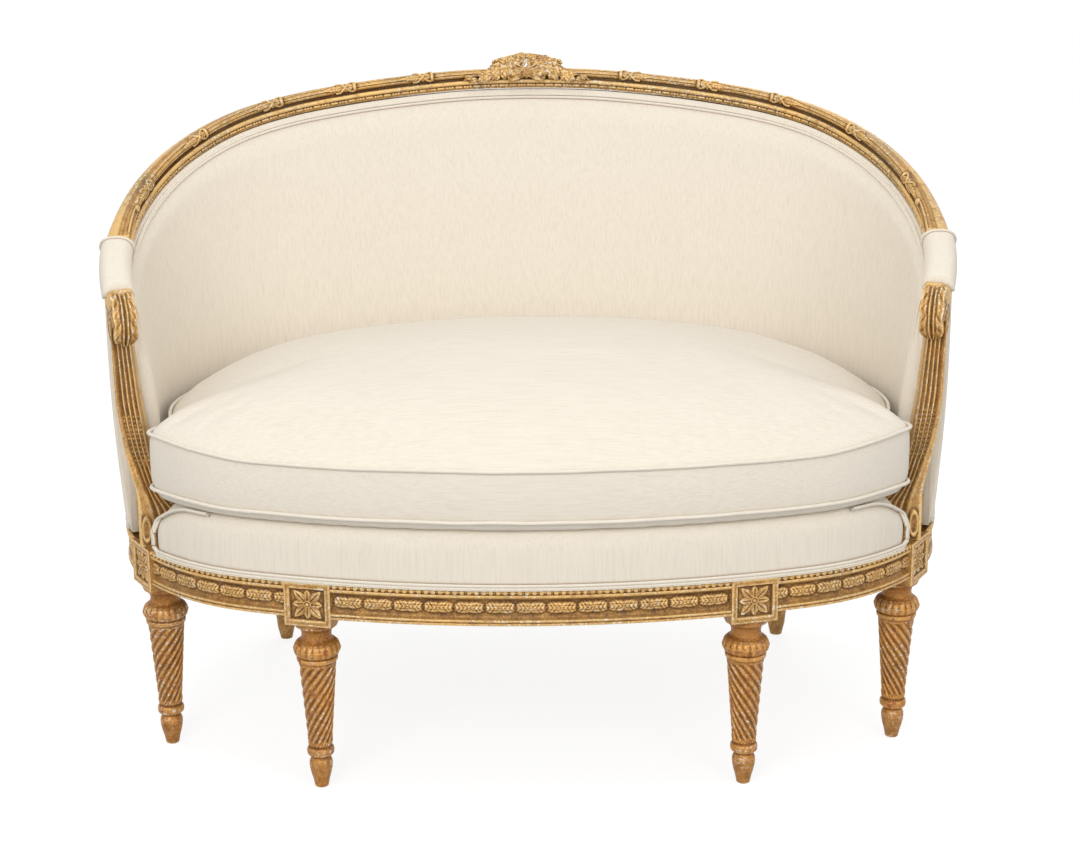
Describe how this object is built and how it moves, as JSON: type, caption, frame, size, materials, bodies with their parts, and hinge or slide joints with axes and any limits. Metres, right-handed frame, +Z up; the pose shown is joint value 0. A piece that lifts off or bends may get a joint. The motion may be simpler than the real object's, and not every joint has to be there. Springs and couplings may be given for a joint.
{
  "type": "cabriole sofa",
  "caption": "French neoclassical gilded settee with a curved back that sweeps into padded arms, a stuffed deck, turned fluted legs and a loose domed seat cushion in natural linen",
  "frame": {"origin": "on the floor, under the centre of the overall width and depth", "axes": "+X along the sofa's length, to the right in the picture; +Y to the back; +Z up"},
  "size_m": [1.34, 0.8796, 1.0258],
  "materials": {
    "giltwood": "worn water gilding over gesso and red bole on carved beech",
    "beech": "bare sawn beech, aged",
    "jute": "jute webbing and hessian",
    "linen": "natural slubby linen over hair and feather stuffing"
  },
  "bodies": {
    "sofa_frame": {"leg_front_left": "giltwood", "leg_front_right": "giltwood", "leg_corner_left": "giltwood", "leg_corner_right": "giltwood", "leg_back_left": "giltwood", "leg_back_right": "giltwood", "rail_front_centre": "giltwood", "rail_front_left": "giltwood", "rail_front_right": "giltwood", "rail_side_left": "giltwood", "rail_side_right": "giltwood", "rail_back": "giltwood", "tenon_pegs": "beech", "seat_brace_left": "beech", "seat_brace_right": "beech", "arm_support_left": "giltwood", "arm_support_right": "giltwood", "arm_left": "giltwood", "arm_right": "giltwood", "crest_centre": "giltwood", "crest_left": "giltwood", "crest_right": "giltwood", "lower_back_rail": "beech", "lower_side_rail_left": "beech", "lower_side_rail_right": "beech", "seat_webbing": "jute", "seat_hessian": "jute", "seat_deck": "linen", "deck_welt": "linen", "back_webbing": "jute", "inside_back_pad": "linen", "inside_back_welt": "linen", "outside_back_cover": "linen", "outside_back_welt": "linen", "arm_pad_left": "linen", "arm_pad_right": "linen", "arm_pad_welt_left": "linen", "arm_pad_welt_right": "linen"},
    "loose_cushion": {"seat_cushion": "linen", "cushion_piping_top": "linen", "cushion_piping_bottom": "linen"}
  },
  "joints": [
    {"name": "cushion_lift", "type": "slide", "parent": "sofa_frame", "child": "loose_cushion", "axis": [0, 0, 1], "range_m": [0, 0.34]}
  ]
}
